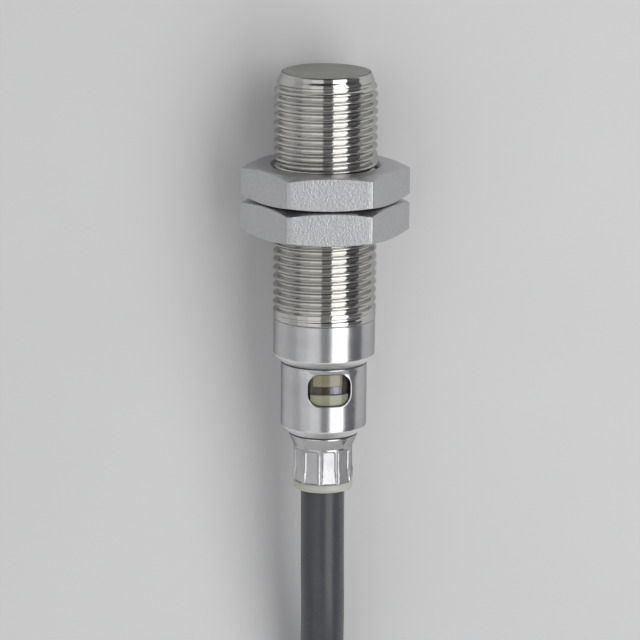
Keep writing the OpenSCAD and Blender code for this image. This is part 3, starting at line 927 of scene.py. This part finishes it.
face_steel = metal("face_steel", (0.34, 0.34, 0.31), (0.41, 0.41, 0.38), 0.5, (5, 5, 5), 0.006)
# dark steel standing in for shade: painted shade in the grooves under the collar and the barrel, and a
# painted dark reflection on the cone's dent
painted_shade_steel = metal("painted_shade_steel", (0.2, 0.2, 0.2), (0.27, 0.27, 0.27), 0.5)
# a rougher steel whose colour is painted much lighter than the wall's: painted light standing in for what
# the chamfers reflect
chamfer_steel_painted_light = metal("chamfer_steel_painted_light", (0.86, 0.86, 0.86), (0.92, 0.92, 0.92), 0.42, (12, 0.3, 0.3), 0.001)
crimp_steel = metal("crimp_steel", (0.5, 0.5, 0.505), (0.6, 0.6, 0.6), 0.34, (4, 4, 4), 0.01)
SURFACES = {
    "turned_steel": turned_steel(),
    "nut_steel": nut_steel(),
    "satin_steel": satin_steel(),
    "light_ring": plastic("lens_recess", (0.03, 0.022, 0.012), (0.05, 0.042, 0.026), 0.2, Coat_Weight=0.6),
    "black_rubber": plastic("black_rubber", (0.016, 0.016, 0.016), (0.026, 0.026, 0.026), 0.6),
    "seal": plastic("seal", (0.56, 0.525, 0.445), (0.64, 0.60, 0.52), 0.4, 2.5, Subsurface_Weight=0.15),
    "black_plastic": plastic("black_plastic", (0.018, 0.018, 0.02), (0.03, 0.03, 0.033), 0.5),
    "ferrite": plastic("ferrite", (0.04, 0.04, 0.042), (0.065, 0.063, 0.062), 0.7, 5, 0.02),
    "cream_plastic": plastic("cream_plastic", (0.68, 0.64, 0.5), (0.76, 0.72, 0.6), 0.45),
    "copper": metal("copper", (0.55, 0.22, 0.08), (0.66, 0.31, 0.13), 0.3, (9, 1, 1)),
    "board": plastic("board", (0.02, 0.12, 0.04), (0.035, 0.18, 0.065), 0.35, 6, 0.01),
    "ceramic": plastic("ceramic", (0.36, 0.21, 0.09), (0.46, 0.28, 0.13), 0.5, 6, 0.01),
    "led": plastic("led", (0.75, 0.72, 0.55), (0.85, 0.83, 0.68), 0.2),
    "foil": metal("foil", (0.5, 0.28, 0.1), (0.6, 0.36, 0.16), 0.25, (1, 4, 4)),
    "resin": plastic("resin", (0.58, 0.54, 0.36), (0.66, 0.62, 0.44), 0.25, 0.8, 0.01),
    "core_brown": plastic("core_brown", (0.09, 0.035, 0.016), (0.125, 0.052, 0.026), 0.42),
    "core_black": plastic("core_black", (0.01, 0.01, 0.01), (0.018, 0.018, 0.018), 0.42),
    "core_blue": plastic("core_blue", (0.016, 0.075, 0.3), (0.028, 0.11, 0.42), 0.42),
    "cable_jacket": plastic("cable_jacket", (0.055, 0.061, 0.067), (0.065, 0.071, 0.078), 0.3, 4, 0.008),
    "tinned_copper": metal("tinned_copper", (0.58, 0.58, 0.57), (0.7, 0.7, 0.69), 0.3, (4, 4, 4), 0.008),
    "tie": woven(),
}
lens_olive = plastic("lens_olive", (0.2, 0.18, 0.11), (0.27, 0.25, 0.165), 0.22, 1.2, 0.01, Coat_Weight=1.0)
lens_green = plastic("lens_green", (0.24, 0.24, 0.155), (0.31, 0.31, 0.22), 0.25, 1.2, 0.01, Coat_Weight=1.0)
# the lighter purple-grey of this block is a painted reflection
painted_reflection_lens = plastic("painted_reflection_lens", (0.2, 0.19, 0.24), (0.32, 0.31, 0.36), 0.25, 1.2, 0.01, Coat_Weight=1.0)


def dress(piece, *surfaces, choice=None):
    """Gives a piece its surfaces; choice picks one of them for each polygon."""
    piece.data.materials.clear()
    for surface in surfaces:
        piece.data.materials.append(surface.material)
    if choice:
        piece.data.polygons.foreach_set("material_index", choice)


def housing_finish(polygon):
    """0 for the turned outside, 1 for the face and 2 for the narrow edge round it, which gets the dark steel
    of the painted shade.
    """
    depth = max(FACE_X - housing.data.vertices[i].co.x / MM for i in polygon.vertices)
    return 1 if depth < 0.01 else 2 if depth < FACE_EDGE + 0.01 else 0


# the two grooves whose faces get painted shade
PAINTED_SHADE_GROOVES = ((34.13, 34.3), (42.64, 42.82))
# the chamfers, painted lighter as reflected light
CHAMFERS = ((33.1, 34.13), (41.6, 42.64))
CRIMP_FINISH_START = 44.3


def shell_finish(polygon):
    """0 for the satin wall, 1 for painted shade in the two grooves and a painted dark reflection on the
    dent, 2 for the chamfers, painted lighter as reflected light, and 3 for the crimp.
    """
    centre = polygon.center
    s, phi = FACE_X - centre.x / MM, math.atan2(-centre.y, centre.z - AXIS_Z * MM)
    if any(start < s < end for start, end in PAINTED_SHADE_GROOVES) or in_dent(s, phi) > 0.04:
        return 1
    if any(start < s < end for start, end in CHAMFERS):
        return 2
    return 3 if s > CRIMP_FINISH_START else 0


# the face's narrow edge gets the dark steel of the painted shade
dress(
    housing, SURFACES["turned_steel"], face_steel, painted_shade_steel,
    choice=[housing_finish(polygon) for polygon in housing.data.polygons],
)
for nut in nuts:
    dress(nut, SURFACES["nut_steel"])
# the shell's grooves and dent get painted shade, and its chamfers painted light
dress(
    shell, SURFACES["satin_steel"], painted_shade_steel, chamfer_steel_painted_light, crimp_steel,
    choice=[shell_finish(polygon) for polygon in shell.data.polygons],
)
dress(seal, SURFACES["seal"])
dress(insert, SURFACES["light_ring"], lens_olive, lens_green, painted_reflection_lens, choice=insert_surfaces)
dress(jacket, SURFACES["cable_jacket"])
for colour, core in cores.items():
    dress(core, SURFACES["core_" + colour])
dress(ferrules, SURFACES["tinned_copper"])
for tie in ties:
    dress(tie, SURFACES["tie"])
for part in frame["record"]["subparts"]:
    dress(frame["nodes"][part["node"]], SURFACES[part["material_slot"]])

# ---------------------------------------------------------------- floor
FLOOR_SIZE = 3.0
half = FLOOR_SIZE / 2
verts = [(-half, -half, 0), (half, -half, 0), (half, half, 0), (-half, half, 0)]
floor_data = bpy.data.meshes.new("floor")
floor_data.from_pydata(verts, [], [(0, 1, 2, 3)])
floor = bpy.data.objects.new("floor", floor_data)
bpy.context.collection.objects.link(floor)
floor_surface = Surface("floor", 0.6)
floor_drift = floor_surface.spread(floor_surface.noise((0.02, 0.02, 0.02), 3), 0, 1)
floor_surface.colour(floor_surface.mix(floor_drift, (0.70, 0.70, 0.70), (0.73, 0.73, 0.73)))
dress(floor, floor_surface)


# ---------------------------------------------------------------- light
def beside(angle):
    """Seen from the sensor: so many degrees from the camera's side of the axis towards -Y."""
    phi = angle * DEG - SIDEWAYS
    return 0, -math.sin(phi), math.cos(phi)


def area_light(name, out, distance, x, across, along, power):
    """A panel that faces the sensor from the direction out, moved by x along the axis."""
    out = Vector(out).normalized()
    length = Vector((1, 0, 0)) if abs(out.x) < 0.5 else Vector((0, 0, 1))
    length = (length - length.dot(out) * out).normalized()
    data = bpy.data.lights.new(name, "AREA")
    data.shape = "RECTANGLE"
    data.size, data.size_y = across, along
    data.energy = power
    light = bpy.data.objects.new(name, data)
    bpy.context.collection.objects.link(light)
    turned = Matrix((length.cross(out), length, out)).transposed().to_4x4()
    centre = Vector((x, 0, AXIS_Z * MM)) + out * distance
    light.matrix_world = Matrix.Translation(centre) @ turned
    light.visible_camera = False


area_light("strip_light", beside(36.5), 0.45, 0.035, 0.30, 0.83, 1.70)
area_light("gap_fill", beside(5.4), 0.60, 0.05, 0.27, 1.00, 0.07)
# the left side fades from the top down to the horizon
area_light("left_panel_top", beside(-22.1), 0.60, 0.05, 0.315, 1.00, 0.68)
area_light("left_panel_middle", beside(-50.3), 0.60, 0.05, 0.288, 1.00, 0.46)
area_light("left_panel_low", beside(-78.5), 0.60, 0.05, 0.310, 1.00, 0.31)
area_light("rear_panel", (-1, 0, 0.445), 0.75, 0, 1.6, 0.83, 2.04)

world = bpy.data.worlds.new("world")
bpy.context.scene.world = world
world.use_nodes = True
nodes, links = world.node_tree.nodes, world.node_tree.links
background = nodes["Background"]
background.inputs["Color"].default_value = (0.9, 0.92, 1.0, 1)
# dimmer towards both ends of the sensor than round its sides
split = nodes.new("ShaderNodeSeparateXYZ")
links.new(nodes.new("ShaderNodeTexCoord").outputs["Generated"], split.inputs["Vector"])
size = nodes.new("ShaderNodeMath")
size.operation = "ABSOLUTE"
links.new(split.outputs["X"], size.inputs[0])
fade = nodes.new("ShaderNodeMapRange")
for socket, value in (("From Min", 0.3), ("From Max", 0.75), ("To Min", 0.17), ("To Max", 0.03)):
    fade.inputs[socket].default_value = value
links.new(size.outputs["Value"], fade.inputs["Value"])
links.new(fade.outputs["Result"], background.inputs["Strength"])
bpy.context.scene.view_settings.view_transform = "Standard"
